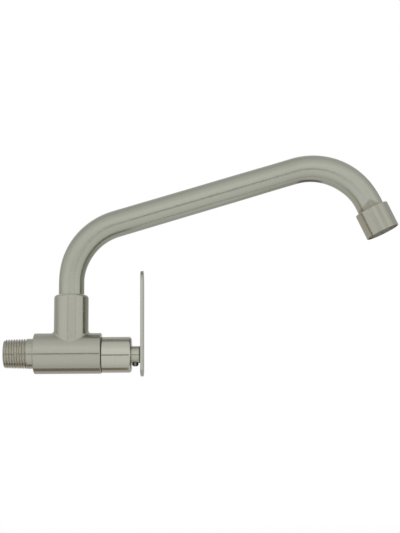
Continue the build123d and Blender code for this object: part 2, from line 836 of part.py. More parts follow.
# Aerator insert: the flanged plastic cup that carries the screens
with BuildPart() as aerator_insert:
    insert_outline = turned_outline(
        nozzle_plane,
        (washer_end, insert_bore_radius),
        (washer_end, ferrule_radius),
        (collar_ledge, ferrule_radius),
        (collar_ledge, insert_radius),
        (insert_end, insert_radius),
        (insert_end, insert_bore_radius),
        (outlet_screen_start, insert_bore_radius),
        (outlet_screen_start, insert_bore_radius - insert_ledge_width),
        (diffuser_start + diffuser_thickness, insert_bore_radius - insert_ledge_width),
        (diffuser_start + diffuser_thickness, insert_bore_radius),
    )
    revolve(insert_outline, axis=axis_of(nozzle_plane))
finish(aerator_insert.part, "aerator_insert")


def nozzle_section(distance):
    """The plane across the nozzle at a distance down from the collar's top."""
    return Plane(origin=collar_top + nozzle_direction * distance, x_dir=(0, 1, 0), z_dir=nozzle_direction)


def mesh_screen(start):
    """A round screen with a grid of square openings."""
    hole_field_radius = screen_radius - screen_rim
    steps = int(hole_field_radius // screen_pitch)
    corner = screen_hole / sqrt(2)
    centres = [
        (column * screen_pitch, row * screen_pitch)
        for column in range(-steps, steps + 1)
        for row in range(-steps, steps + 1)
        if sqrt(column**2 + row**2) * screen_pitch + corner < hole_field_radius
    ]
    with BuildPart() as screen:
        with BuildSketch(nozzle_section(start)):
            Circle(screen_radius)
            with Locations(*centres):
                Rectangle(screen_hole, screen_hole, mode=Mode.SUBTRACT)
        extrude(amount=screen_thickness)
    return screen.part


finish(mesh_screen(washer_end), "aerator_inlet_screen")
finish(mesh_screen(outlet_screen_start), "aerator_outlet_screen")

# Diffuser: the drilled disc that mixes air into the stream
with BuildPart() as aerator_diffuser:
    with BuildSketch(nozzle_section(diffuser_start)):
        Circle(screen_radius)
        with PolarLocations(diffuser_circle_radius, diffuser_hole_count):
            Circle(diffuser_hole_radius, mode=Mode.SUBTRACT)
    extrude(amount=diffuser_thickness)
finish(aerator_diffuser.part, "aerator_diffuser")
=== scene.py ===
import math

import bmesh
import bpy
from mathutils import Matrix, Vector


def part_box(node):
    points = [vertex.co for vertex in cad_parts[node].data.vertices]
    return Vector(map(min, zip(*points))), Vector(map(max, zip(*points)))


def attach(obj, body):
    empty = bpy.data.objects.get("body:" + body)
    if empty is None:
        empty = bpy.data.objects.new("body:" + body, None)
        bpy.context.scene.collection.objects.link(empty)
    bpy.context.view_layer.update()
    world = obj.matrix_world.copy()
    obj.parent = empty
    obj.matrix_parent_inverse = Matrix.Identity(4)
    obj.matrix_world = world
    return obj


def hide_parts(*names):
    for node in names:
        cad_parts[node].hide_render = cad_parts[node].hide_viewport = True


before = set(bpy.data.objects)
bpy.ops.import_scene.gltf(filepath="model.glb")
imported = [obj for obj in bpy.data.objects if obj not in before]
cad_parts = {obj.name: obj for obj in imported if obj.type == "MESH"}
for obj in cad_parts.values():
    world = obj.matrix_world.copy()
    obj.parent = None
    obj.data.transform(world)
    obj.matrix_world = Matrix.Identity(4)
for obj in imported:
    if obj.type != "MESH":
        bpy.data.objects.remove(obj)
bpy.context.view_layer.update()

# %% [markdown]
# A wall tap in brushed stainless steel.
# The tap is a short level barrel with a threaded inlet, a swivelling spout that climbs away from the
# wall, and a flat lever that stands upright on a small neck. Nearly all of it is the same grey-green
# steel, so its looks come from two things: how each piece was ground, and what it mirrors.
# The loaded pieces already have the right shapes. This script adds a camera, a studio, the finishes,
# and the woven screen in the spout's mouth.
# Blender's lengths are metres. Most sizes here are written in mm and multiplied by MM.

MM = 0.001

# %% [markdown]
# The camera.
# A product photograph like this one is taken from the side, a little below the spout, with a long lens
# so that the pipe doesn't look bent by perspective. The place and tilt were worked out from the tap's
# own outline: the camera stands 0.87 m away, 8 cm below the barrel, and looks up 9 degrees.

# %% Camera
camera_place = Vector((116.0, -868.25, -79.93)) * MM
camera_pitch = 9.216
camera_roll = -0.387
camera_data = bpy.data.cameras.new("camera")
camera_data.sensor_width = 36.0
camera_data.lens = 84.15
camera_data.clip_end = 50.0
camera = bpy.data.objects.new("camera", camera_data)
bpy.context.scene.collection.objects.link(camera)
tilt = Matrix.Rotation(math.radians(90.0 + camera_pitch), 4, "X")
roll = Matrix.Rotation(math.radians(camera_roll), 4, "Z")
camera.matrix_world = Matrix.Translation(camera_place) @ tilt @ roll
bpy.context.scene.camera = camera
bpy.context.scene.view_settings.view_transform = "Standard"
print("camera stands", round(-camera_place.y, 3), "m in front of the tap's middle plane")

# %% [markdown]
# Small helpers.
# Node trees get long, so one function adds any node, sets it up and plugs it in. It takes the inputs in
# order, or by name or number where some are left out, and the kinds that come up most have short names.
# A Mix node has two inputs and an output of its own for each kind of data: 2, 3 and output 0 for numbers,
# 4, 5 and output 1 for vectors, and 6, 7 and output 2 for colours.
# Colours are written as the hex codes that a paint program shows, which are sRGB, and turned into the
# linear light that Blender computes with.

# %% Node and colour helpers
MATH = "ShaderNodeMath"
VECTOR_MATH = "ShaderNodeVectorMath"
MAP_RANGE = "ShaderNodeMapRange"
MIX = "ShaderNodeMix"
NOISE = "ShaderNodeTexNoise"


def add_node(tree, kind, inputs=(), **settings):
    """Add a node with its settings. An input takes a value, an output, or a node to link its first output."""
    node = tree.nodes.new(kind)
    for name, value in settings.items():
        setattr(node, name, value)
    by_socket = inputs if isinstance(inputs, dict) else dict(enumerate(inputs))
    for socket, value in by_socket.items():
        if isinstance(value, bpy.types.Node):
            value = value.outputs[0]
        if isinstance(value, bpy.types.NodeSocket):
            tree.links.new(value, node.inputs[socket])
        else:
            node.inputs[socket].default_value = value
    return node


def linear(hex_code):
    """An sRGB hex code such as #a9a99b as a linear colour with alpha."""
    channels = [int(hex_code[start : start + 2], 16) / 255 for start in (1, 3, 5)]
    curve = [c / 12.92 if c <= 0.04045 else ((c + 0.055) / 1.055) ** 2.4 for c in channels]
    return (*curve, 1.0)


def new_material(name):
    """An empty material and its node tree."""
    material = bpy.data.materials.new(name)
    material.use_nodes = True
    material.node_tree.nodes.clear()
    return material, material.node_tree


def new_object(name, mesh, material):
    """Put a mesh in the scene under a name."""
    thing = bpy.data.objects.new(name, mesh)
    bpy.context.scene.collection.objects.link(thing)
    mesh.materials.append(material)
    return thing


print("mid grey becomes", round(linear("#808080")[0], 3))

# %% [markdown]
# The room and the floor.
# The world is plain white at strength 1, so a plain colour renders about as it is written and the
# background is white. The floor is nearly white too. In such even light it renders as white as the world
# behind it, with no line between them, and it only darkens where the tap keeps light off it.

# %% World and floor
world = bpy.data.worlds.new("white room")
bpy.context.scene.world = world
world.use_nodes = True
world.node_tree.nodes.clear()
room_light = add_node(world.node_tree, "ShaderNodeBackground", [(1.0, 1.0, 1.0, 1.0), 1.0])
add_node(world.node_tree, "ShaderNodeOutputWorld", [room_light])

floor_height = -0.3
floor_half_width = 4.0
floor_paint, floor_tree = new_material("matt_white_floor")
paint = add_node(
    floor_tree,
    "ShaderNodeBsdfPrincipled",
    {"Base Color": linear("#fefefe"), "Roughness": 1.0, "Specular IOR Level": 0.0},
)
add_node(floor_tree, "ShaderNodeOutputMaterial", [paint])
floor_mesh = bpy.data.meshes.new("floor")
shape = bmesh.new()
bmesh.ops.create_grid(shape, x_segments=1, y_segments=1, size=floor_half_width)
bmesh.ops.translate(shape, verts=shape.verts, vec=(0.0, 0.0, floor_height))
shape.to_mesh(floor_mesh)
shape.free()
floor = new_object("floor", floor_mesh, floor_paint)
floor.visible_glossy = False
print("floor lies", round(-floor_height, 2), "m below the barrel")

# %% [markdown]
# The tent.
# Brushed metal has hardly any colour of its own: it shows what is round it. In a photo studio, white cloth
# hangs round a tap like this one, brightest in front, greyer overhead and behind. Here the cloth is a wide
# tunnel that runs level past the tap. Only mirrored rays see it, so it shapes the metal's light and
# leaves the white background alone.
# The angle round the tap, from the camera's side (0) over the top (90) to the back (180) and below (-90),
# picks the cloth's brightness from one ramp. The tunnel is much wider than the tap, so that each piece
# sees nearly the same cloth at the same angle. Its sizes are in metres, like the floor's, and all sizes
# below are in mm.

# %% Tent cloth
tent_radius = 6.0
tent_half_length = 60.0
tent_sides = 180
tent = [
    (-180, 0.62),
    (-138, 0.64),
    (-116, 0.74),
    (-92, 0.79),
    (-84, 0.78),
    (-62, 0.92),
    (-36, 0.98),
    (-18, 0.97),
    (6, 1.06),
    (22, 1.10),
    (34, 1.06),
    (48, 0.95),
    (70, 0.86),
    (86, 0.74),
    (104, 0.66),
    (126, 0.67),
    (180, 0.62),
]


def place_parts(tree):
    """The X, Y and Z of a place on a piece in its own coordinates, which are the tap's, in metres."""
    place = add_node(tree, "ShaderNodeTexCoord").outputs["Object"]
    return add_node(tree, "ShaderNodeSeparateXYZ", [place]).outputs


def set_ramp(ramp_node, stops):
    """Fill a colour ramp with (position, colour) stops."""
    ramp = ramp_node.color_ramp
    while len(ramp.elements) < len(stops):
        ramp.elements.new(1.0)
    for element, (position, colour) in zip(ramp.elements, stops):
        element.position = position
        element.color = colour


def make_glow(material, colour):
    """Let a material give off light of one colour, or of the colour that a node makes."""
    tree = material.node_tree
    glow = add_node(tree, "ShaderNodeEmission", {"Color": colour, "Strength": 1.0})
    add_node(tree, "ShaderNodeOutputMaterial", [glow])
    material.cycles.emission_sampling = "NONE"


def only_mirrored(thing):
    """Let only mirrored rays see a piece of the studio."""
    thing.visible_camera = False
    thing.visible_diffuse = False
    thing.visible_transmission = False
    thing.visible_volume_scatter = False
    thing.visible_shadow = False


cloth, cloth_tree = new_material("tent_cloth")
parts = place_parts(cloth_tree)
toward_camera = add_node(cloth_tree, MATH, [parts["Y"], -1.0], operation="MULTIPLY")
angle = add_node(cloth_tree, MATH, [parts["Z"], toward_camera], operation="ARCTAN2")
share = add_node(cloth_tree, MAP_RANGE, [angle, -math.pi, math.pi])
cloth_ramp = add_node(cloth_tree, "ShaderNodeValToRGB", [share])
set_ramp(cloth_ramp, [((degrees + 180) / 360, (bright, bright, bright, 1.0)) for degrees, bright in tent])
make_glow(cloth, cloth_ramp)

tent_mesh = bpy.data.meshes.new("tent")
shape = bmesh.new()
lengthwise = Matrix.Rotation(math.radians(90), 4, "Y")
bmesh.ops.create_cone(
    shape,
    cap_ends=False,
    segments=tent_sides,
    radius1=tent_radius,
    radius2=tent_radius,
    depth=2 * tent_half_length,
    matrix=lengthwise,
)
shape.to_mesh(tent_mesh)
shape.free()
only_mirrored(new_object("tent", tent_mesh, cloth))
print("the tent's ramp has", len(tent), "steps of brightness")

# %% [markdown]
# What else the tap mirrors.
# A lens looks in through a slit in the cloth, and every round piece of the tap mirrors that black slit as a
# thin dark line along its middle. Low down under the barrel lies something brown, which gives the barrel's
# underside its warm dark band, and something grey above the bonnet draws the dark line near its top. Below
# the slope lie a dark strip, which draws a faint second line along the tube, and a light sheet behind it.
# Each of these is a card at a real place, because a near thing is mirrored at a different spot on each
# piece. A surface mirrors what lies at twice its own angle, so a line's place on the metal tells where its
# card is.


# %% Lens slit and the cards above and below
def add_card(name, width, height, centre, colour, turns):
    """A flat card that glows evenly, its size and centre in mm. It lies level until it is turned."""
    mesh = bpy.data.meshes.new(name)
    shape = bmesh.new()
    bmesh.ops.create_grid(shape, x_segments=1, y_segments=1, size=0.5)
    bmesh.ops.scale(shape, verts=shape.verts, vec=(width * MM, height * MM, 1.0))
    bmesh.ops.transform(shape, matrix=Matrix.Translation(Vector(centre) * MM) @ turns, verts=shape.verts)
    shape.to_mesh(mesh)
    shape.free()
    material, _ = new_material(name)
    make_glow(material, linear(colour))
    only_mirrored(new_object(name, mesh, material))


level = Matrix.Identity(4)
upright = Matrix.Rotation(math.radians(90), 4, "X")
slit_height = 74.0
add_card("lens_slit", 900.0, slit_height, (110.0, -875.0, -98.0), "#0c0c0c", upright)
add_card("brown_card", 126.0, 30.0, (3.0, 12.6, -62.0), "#9c8e83", level)
add_card("grey_card", 64.0, 13.0, (62.0, 32.0, 95.0), "#747470", level)
card_lean = 15.5
along_slope = Matrix.Rotation(math.radians(-card_lean), 4, "Y")
add_card("slope_card", 210.0, 12.0, (215.0, -30.0, -172.0), "#4a4944", along_slope)
add_card("slope_sheet", 110.0, 160.0, (258.0, 96.0, -185.0), "#f4f4ee", along_slope)
print("the lens slit is", slit_height, "mm high")

# %% [markdown]
# Cards at the sides.
# The collar's left flank is lighter and warmer than its front, with a dark line between: a cloth to the
# left and the cloth's dark edge. The edge is turned about the nozzle's own direction, so that the line runs
# straight along the collar, and so is a light card to the right that brightens the collar's front. A greyer
# wall on the right darkens the flanks of the leg and the socket, a sheet on the left lights the leg, and
# two seams show as faint upright lines on the socket.

# %% Edge, sheets and seams
nozzle_angle = math.radians(65.1)
edge_turn = math.radians(85.0)
collar_card_turn = math.radians(-31.0)
nozzle_ahead = (math.cos(nozzle_angle), 0.0, -math.sin(nozzle_angle))
along_nozzle = Matrix.Rotation(nozzle_angle, 4, "Y") @ upright
toward_left = Matrix.Rotation(edge_turn, 4, Vector(nozzle_ahead))
add_card("left_edge", 340.0, 50.0, (-305.0, -61.0, -157.0), "#45423c", toward_left @ along_nozzle)
sideways = Matrix.Rotation(math.radians(90.0), 4, "Z") @ upright
add_card("left_cloth", 900.0, 450.0, (-500.0, 520.0, -225.0), "#dfd9cc", sideways)
add_card("right_wall", 420.0, 350.0, (300.0, 257.0, 25.0), "#b4b2aa", sideways)
add_card("left_sheet", 100.0, 100.0, (-130.0, -8.0, 120.0), "#f4f4f0", sideways)
to_the_right = Matrix.Rotation(collar_card_turn, 4, Vector(nozzle_ahead))
add_card("collar_card", 46.0, 78.0, (301.0, -131.0, 138.0), "#e2e2dc", to_the_right @ along_nozzle)

seam_distance = 300.0
seam_width = 10.0
seam_height = 116.0
seam_middle = 68.0
socket_x = 25.5
for seam_name, seam_angle in {"left_seam": -17.5, "right_seam": 33.0}.items():
    bearing = math.radians(seam_angle)
    to_the_side = socket_x + seam_distance * math.sin(bearing)
    seam_place = (to_the_side, -seam_distance * math.cos(bearing), seam_middle)
    facing = Matrix.Rotation(bearing, 4, "Z") @ upright
    add_card(seam_name, seam_width, seam_height, seam_place, "#8a8a84", facing)
print("the seams stand", seam_distance, "mm from the socket")

# %% [markdown]
# How brushing shows.
# Every piece was ground with an abrasive belt or in a lathe. The grit leaves fine scratches, which blur a
# mirrored picture across themselves but not along themselves. On a turned piece the scratches run round, so
# the mirrored lines lie straight and sharp along the piece. Blender calls this anisotropy, and it needs the
# scratches' direction at each point.
# That could come from a UV map, but the loaded pieces have none, and their shapes are simple. So it is
# worked out from the place: on a turned piece the radius, crossed with the axis, runs round the piece. Each
# lay below gives three things: the way along the scratches, a vector that changes slowly round the piece,
# and a distance in metres that counts scratch after scratch. The valve and its bonnet lie 1.1 mm lower than
# the inlet, so their axis does too.

# %% Scratches round a turned piece
valve_drop = 1.1


def metres(lengths):
    """Lengths in mm, such as a place's, as lengths in metres."""
    return tuple(length * MM for length in lengths)


def turned_lay(tree, origin, axis):
    """Scratches round an axis through an origin in mm."""
    place = add_node(tree, "ShaderNodeTexCoord").outputs["Object"]
    offset = add_node(tree, VECTOR_MATH, [place, metres(origin)], operation="SUBTRACT")
    along = add_node(tree, VECTOR_MATH, [offset, axis], operation="DOT_PRODUCT").outputs["Value"]
    lift = add_node(tree, VECTOR_MATH, {0: axis, 3: along}, operation="SCALE")
    spoke = add_node(tree, VECTOR_MATH, [offset, lift], operation="SUBTRACT")
    out = add_node(tree, VECTOR_MATH, [spoke], operation="LENGTH").outputs["Value"]
    radial = add_node(tree, VECTOR_MATH, [spoke], operation="NORMALIZE")
    around = add_node(tree, VECTOR_MATH, [axis, radial], operation="CROSS_PRODUCT")
    return around, radial, add_node(tree, MATH, [along, out], operation="ADD")


def inlet_lay(tree):
    """Round the inlet and the barrel."""
    return turned_lay(tree, (0.0, 0.0, 0.0), (1.0, 0.0, 0.0))


def swivel_lay(tree):
    """Round the socket, the swivel's tail and its rings."""
    return turned_lay(tree, (socket_x, 0.0, 0.0), (0.0, 0.0, 1.0))


def valve_lay(tree):
    """Round the bonnet, the neck and the valve's own pieces."""
    return turned_lay(tree, (0.0, 0.0, -valve_drop), (1.0, 0.0, 0.0))


def screw_lay(tree):
    """Round the set screw, which stands upright under the neck."""
    screw_low, screw_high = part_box("handle_screw")
    middle = (screw_low + screw_high) / 2 / MM
    return turned_lay(tree, middle, (0.0, 0.0, 1.0))


print("the valve's axis lies", valve_drop, "mm below the inlet's")

# %% [markdown]
# The body has two lays.
# The barrel and the socket are one casting, but each was ground round its own axis. The socket's lay holds
# within its own radius and above the barrel's middle, and it fades into the barrel's over the fillet.

# %% Scratches on the body
barrel_radius = 14.2
socket_radius = 12.3
fade_heights = (5.0, 8.0)


def distance(tree, first, second):
    """How far a point is that lies this far off in two square directions."""
    squares = [add_node(tree, MATH, [side, 2.0], operation="POWER") for side in (first, second)]
    return add_node(tree, MATH, [add_node(tree, MATH, squares, operation="ADD")], operation="SQRT")


def body_lay(tree):
    """Round the barrel, and round the socket where it stands on the barrel."""
    barrel = inlet_lay(tree)
    socket = swivel_lay(tree)
    parts = place_parts(tree)
    above_barrel = add_node(tree, MAP_RANGE, [parts["Z"], *metres(fade_heights)])
    out_of_axis = add_node(tree, MATH, [parts["X"], socket_x * MM], operation="SUBTRACT")
    radius = distance(tree, out_of_axis, parts["Y"])
    inside = add_node(tree, MAP_RANGE, [radius, barrel_radius * MM, socket_radius * MM])
    share = add_node(tree, MATH, [above_barrel, inside], operation="MULTIPLY")
    around = add_node(tree, MIX, {0: share, 4: barrel[0], 5: socket[0]}, data_type="VECTOR").outputs[1]
    spread = add_node(tree, MIX, {0: share, 4: barrel[1], 5: socket[1]}, data_type="VECTOR").outputs[1]
    reach = add_node(tree, MIX, {0: share, 2: barrel[2], 3: socket[2]}, data_type="FLOAT")
    return around, spread, reach


print("the socket's axis stands", socket_x, "mm from the barrel's end")

# %% [markdown]
# The spout's scratches follow its bends.
# A bent pipe is ground with a belt that runs round it, so the scratches are rings across the pipe's own
# direction. The pipe goes up, turns forward, climbs the slope, and turns down towards the nozzle. How far
# each bend has turned at a point is an angle about the bend's centre, held between nothing and the whole
# turn. The two turns added give the pipe's heading there.


# %% Bends of the spout
def turn_about(tree, place, centre, ahead, outward, whole_turn):
    """How far a bend has turned at a place, in radians. Its centre is in mm."""
    spoke = add_node(tree, VECTOR_MATH, [place, metres(centre)], operation="SUBTRACT")
    forward = add_node(tree, VECTOR_MATH, [spoke, ahead], operation="DOT_PRODUCT").outputs["Value"]
    sideways = add_node(tree, VECTOR_MATH, [spoke, outward], operation="DOT_PRODUCT").outputs["Value"]
    turn = add_node(tree, MATH, [forward, sideways], operation="ARCTAN2")
    begun = add_node(tree, MATH, [turn, 0.0], operation="MAXIMUM")
    return add_node(tree, MATH, [begun, whole_turn], operation="MINIMUM")


first_bend_radius = 43.3
first_bend_centre = (68.8, 0.0, 50.35)
first_turn = math.radians(73.55)
second_bend_radius = 44.1
second_bend_centre = (196.1, 0.0, 87.1)
second_turn = math.radians(81.55)
slope_length = 132.5
slope_ahead = (math.sin(first_turn), 0.0, math.cos(first_turn))
slope_outward = (-math.cos(first_turn), 0.0, math.sin(first_turn))
print("the spout turns", round(math.degrees(first_turn + second_turn), 2), "degrees in all")

# %% [markdown]
# Rings round the pipe.
# The heading's sine and cosine make the way ahead, and that crossed with the surface's normal runs round the
# pipe. To count the scratches, the straight runs add their length, and each bend adds its turn times its
# radius, so that the rings keep their distance from foot to nozzle.


# %% Scratches on the spout
def way_ahead(tree, heading):
    """The unit vector at an angle from upright, towards the spout's reach."""
    forward = add_node(tree, MATH, [heading], operation="SINE")
    upward = add_node(tree, MATH, [heading], operation="COSINE")
    return add_node(tree, "ShaderNodeCombineXYZ", {"X": forward, "Z": upward})


def run_from(tree, place, centre, ahead):
    """How far ahead of a bend's centre a place lies, in metres. The centre is in mm."""
    spoke = add_node(tree, VECTOR_MATH, [place, metres(centre)], operation="SUBTRACT")
    return add_node(tree, VECTOR_MATH, [spoke, ahead], operation="DOT_PRODUCT").outputs["Value"]


def spout_lay(tree):
    """Round the bent tube, wherever it heads."""
    coordinates = add_node(tree, "ShaderNodeTexCoord").outputs
    place = coordinates["Object"]
    normal = coordinates["Normal"]
    up = (0.0, 0.0, 1.0)
    to_wall = (-1.0, 0.0, 0.0)
    first = turn_about(tree, place, first_bend_centre, up, to_wall, first_turn)
    second = turn_about(tree, place, second_bend_centre, slope_ahead, slope_outward, second_turn)
    ahead = way_ahead(tree, add_node(tree, MATH, [first, second], operation="ADD"))
    around = add_node(tree, VECTOR_MATH, [ahead, normal], operation="CROSS_PRODUCT")
    first_run = run_from(tree, place, first_bend_centre, way_ahead(tree, first))
    reach = add_node(tree, MATH, [first_run, slope_length * MM], operation="MINIMUM")
    for turn, radius in ((first, first_bend_radius), (second, second_bend_radius)):
        arc = add_node(tree, MATH, [turn, radius * MM], operation="MULTIPLY")
        reach = add_node(tree, MATH, [reach, arc], operation="ADD")
    last_run = run_from(tree, place, second_bend_centre, ahead)
    past_bends = add_node(tree, MATH, [last_run, 0.0], operation="MAXIMUM")
    return around, normal, add_node(tree, MATH, [reach, past_bends], operation="ADD")


print("the slope runs", slope_length, "mm between the bends")

# %% [markdown]
# The nozzle and the lever.
# The collar is turned about the nozzle's own axis. The lever is a flat plate, so nothing on it runs round:
# its faces were brushed lengthwise on a belt, and its rim was ground along its outline.

# %% Scratches on the collar and the lever
collar_low, collar_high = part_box("aerator_housing")
collar_middle = (collar_low + collar_high) / 2
collar_length = 18.5
collar_top = collar_middle - Vector(nozzle_ahead) * (collar_length / 2 * MM)
nozzle_outward = (math.sin(nozzle_angle), 0.0, math.cos(nozzle_angle))


def nozzle_lay(tree):
    """Round the collar and the pieces in it."""
    return turned_lay(tree, collar_middle / MM, nozzle_ahead)


def lever_lay(tree):
    """Lengthwise on the lever's faces, along the outline on its rim."""
    parts = place_parts(tree)
    normal = add_node(tree, "ShaderNodeTexCoord").outputs["Normal"]
    out_of_wall = (1.0, 0.0, 0.0)
    up = (0.0, 0.0, 1.0)
    facing = add_node(tree, VECTOR_MATH, [normal, out_of_wall], operation="DOT_PRODUCT").outputs["Value"]
    flatness = add_node(tree, MATH, [facing], operation="ABSOLUTE")
    along_rim = add_node(tree, VECTOR_MATH, [out_of_wall, normal], operation="CROSS_PRODUCT")
    lay = add_node(tree, MIX, {0: flatness, 4: along_rim, 5: up}, data_type="VECTOR").outputs[1]
    changes_a_metre = 30.0
    height = add_node(tree, MATH, [parts["Z"], changes_a_metre], operation="MULTIPLY")
    slow = add_node(tree, "ShaderNodeCombineXYZ", {"Z": height})
    return lay, slow, add_node(tree, MATH, [parts["Y"], parts["X"]], operation="ADD")


print("the collar's middle is at", [round(side / MM, 1) for side in collar_middle], "mm")

# %% [markdown]
# Brushed metal.
# A real brushed surface has three sizes of detail. The scratches themselves are about a tenth of a
# millimetre apart: noise that changes fast across the scratches and slowly along them gives them their
# bump and their uneven shine. Bands of deeper scratches, half a millimetre wide, make faint streaks.
# Fingers and wiping leave cloudy patches about 15 mm across, a little duller than the rest.
# The metal's colour, roughness and anisotropy are the shader's own values. Only the small changes about
# them come from the noise. Noise hardly ever leaves the middle part of its range, so that part is spread
# out over the whole. The shader's quarter turn makes it blur across the scratches and not along them.
# Marks, and painted light and shade, are laid over the metal's colour, one after the other, each where its
# share says.

# %% Brushed metal
fine_range = (0.3, 0.7)
slow_range = (0.35, 0.65)
cloud_size = 15.0
streak_to_scratch = 4
changes_round_a_piece = (1.5, 1.5, 1.5)
scratch_unevenness = 0.012
wiped_change = (-0.008, 0.012)
scratch_depth = 0.02
bump_strength = 0.02
quarter_turn = 0.25


def brushed_metal(
    name, colour, roughness, lay, anisotropy=0.9, scratch=0.12, streak=0.015, dullness=None, marks=None
):
    """Ground metal. A scratch's width is in mm, and a streak is its share of the colour."""
    material, tree = new_material(name)
    around, slow, reach = lay(tree)
    to_world = {"vector_type": "VECTOR", "convert_from": "OBJECT", "convert_to": "WORLD"}
    world_around = add_node(tree, "ShaderNodeVectorTransform", [around], **to_world)
    spread = add_node(tree, VECTOR_MATH, [slow, changes_round_a_piece], operation="MULTIPLY")
    noises = []
    for width in (scratch, streak_to_scratch * scratch):
        row = add_node(tree, MATH, [reach, 1 / (width * MM)], operation="MULTIPLY")
        rows = add_node(tree, "ShaderNodeCombineXYZ", [row])
        squeezed = add_node(tree, VECTOR_MATH, [spread, rows], operation="ADD")
        noises.append(add_node(tree, NOISE, {"Vector": squeezed, "Scale": 1.0, "Detail": 2.0}))
    fine, bands = noises
    place = add_node(tree, "ShaderNodeTexCoord").outputs["Object"]
    clouds = add_node(tree, NOISE, {"Vector": place, "Scale": 1 / (cloud_size * MM), "Detail": 3.0})
    uneven = (roughness - scratch_unevenness, roughness + scratch_unevenness)
    scratched = add_node(tree, MAP_RANGE, [fine, *fine_range, *uneven])
    wiped = add_node(tree, MAP_RANGE, [clouds, *slow_range, *wiped_change])
    rough = add_node(tree, MATH, [scratched, wiped], operation="ADD")
    if dullness:
        rough = add_node(tree, MATH, [rough, dullness(tree)], operation="ADD")
    base = linear(colour)
    darker = tuple(channel * (1 - streak) for channel in base[:3]) + (1.0,)
    lighter = tuple(channel * (1 + streak) for channel in base[:3]) + (1.0,)
    share = add_node(tree, MAP_RANGE, [bands, *fine_range])
    tint = add_node(tree, MIX, {0: share, 6: darker, 7: lighter}, data_type="RGBA").outputs[2]
    # Some of these marks are painted light and painted shade.
    for mark_share, mark in marks(tree) if marks else ():
        tint = add_node(tree, MIX, {0: mark_share, 6: tint, 7: linear(mark)}, data_type="RGBA").outputs[2]
    relief = {"Height": fine, "Strength": bump_strength, "Distance": scratch_depth * MM}
    shader = add_node(
        tree,
        "ShaderNodeBsdfPrincipled",
        {
            "Base Color": tint,
            "Metallic": 1.0,
            "Roughness": rough,
            "Anisotropic": anisotropy,
            "Anisotropic Rotation": quarter_turn,
            "Normal": add_node(tree, "ShaderNodeBump", relief),
            "Tangent": world_around,
        },
    )
    add_node(tree, "ShaderNodeOutputMaterial", [shader])
    return material


def wear(finishes):
    """Give each loaded piece its material."""
    for node_name, material in finishes.items():
        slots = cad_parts[node_name].data.materials
        slots.clear()
        slots.append(material)


print("brushed metal is ready")

# %% [markdown]
# The body's steel.
# All the outside pieces are stainless steel, but they weren't finished alike. The body was cast and then
# linished by hand, which leaves an even, soft shine. Its thread was left as cut, so it is duller. Its grooves
# and the socket's rim are painted pale, which is painted light: it lifts the shade in the grooves and at the
# socket's top, under the spout's foot.
# Such marks could be painted on a picture, but then the body would need a UV map. A ramp over a length in mm
# says just as well where each mark begins and ends.


# %% Linished cast steel
def thread_dullness(tree):
    """The cut thread is a little rougher than the ground barrel."""
    thread_end = (-5.0, -4.0)
    added_roughness = 0.03
    return add_node(tree, MAP_RANGE, [place_parts(tree)["X"], *metres(thread_end), added_roughness, 0.0])


def body_painted_light(tree):
    """Painted light: pale grooves in the thread and a pale rim on the socket, which lift their shade."""
    crest_radius = 10.4775
    shank_length = 4.5
    taper = 1 / 32
    groove_depths = (0.05, 0.6)
    thread_end = (-5.0, -4.5)
    bore_edge = (8.0, 8.5)
    rim_heights = (39.8, 40.7)
    parts = place_parts(tree)
    radius = distance(tree, parts["Y"], parts["Z"])
    past_shank = add_node(tree, MATH, [parts["X"], shank_length * MM], operation="ADD")
    fall = add_node(tree, MATH, [past_shank, taper], operation="MULTIPLY")
    crest = add_node(tree, MATH, [fall, crest_radius * MM], operation="ADD")
    below_crest = add_node(tree, MATH, [crest, radius], operation="SUBTRACT")
    in_groove = add_node(tree, MAP_RANGE, [below_crest, *metres(groove_depths)])
    on_thread = add_node(tree, MAP_RANGE, [parts["X"], *metres(thread_end), 1.0, 0.0])
    outside = add_node(tree, MAP_RANGE, [radius, *metres(bore_edge)])
    thread_groove = add_node(tree, MATH, [in_groove, on_thread], operation="MULTIPLY")
    lightened_grooves = add_node(tree, MATH, [thread_groove, outside], operation="MULTIPLY")
    lightened_rim = add_node(tree, MAP_RANGE, [parts["Z"], *metres(rim_heights)])
    # Both pale colours are painted light, which lifts the shade in the thread's grooves and on the socket's
    # rim.
    return [(lightened_grooves, "#c8c5b8"), (lightened_rim, "#d6d6ca")]


cast_stainless = brushed_metal(
    "cast_stainless_linished", "#aaa99d", 0.23, body_lay, dullness=thread_dullness, marks=body_painted_light
)
print("the body wears", cast_stainless.name)

# %% [markdown]
# The bonnet's and the collar's steel.
# Both came off a lathe. The bonnet was turned bright, and mirrors the lens slit as a hard dark line. The
# collar has a satin shine, which blurs that line, and its end face is painted dark grey, as painted shade.

# %% Turned steel
turned_stainless = brushed_metal("turned_stainless_bright", "#b7b6aa", 0.16, valve_lay)


def mouth_painted_shade(tree):
    """Painted shade: dull grey on the collar's end face."""
    face_reach = (collar_length - 0.4, collar_length - 0.15)
    place = add_node(tree, "ShaderNodeTexCoord").outputs["Object"]
    offset = add_node(tree, VECTOR_MATH, [place, collar_top], operation="SUBTRACT")
    along = add_node(tree, VECTOR_MATH, [offset, nozzle_ahead], operation="DOT_PRODUCT").outputs["Value"]
    end_face = add_node(tree, MAP_RANGE, [along, *metres(face_reach)])
    # This grey is painted shade on the end face round the mouth.
    return [(end_face, "#77756b")]


collar_stainless = brushed_metal("turned_stainless_satin", "#aaa99d", 0.24, nozzle_lay, marks=mouth_painted_shade)
print("the collar is", collar_length, "mm long")
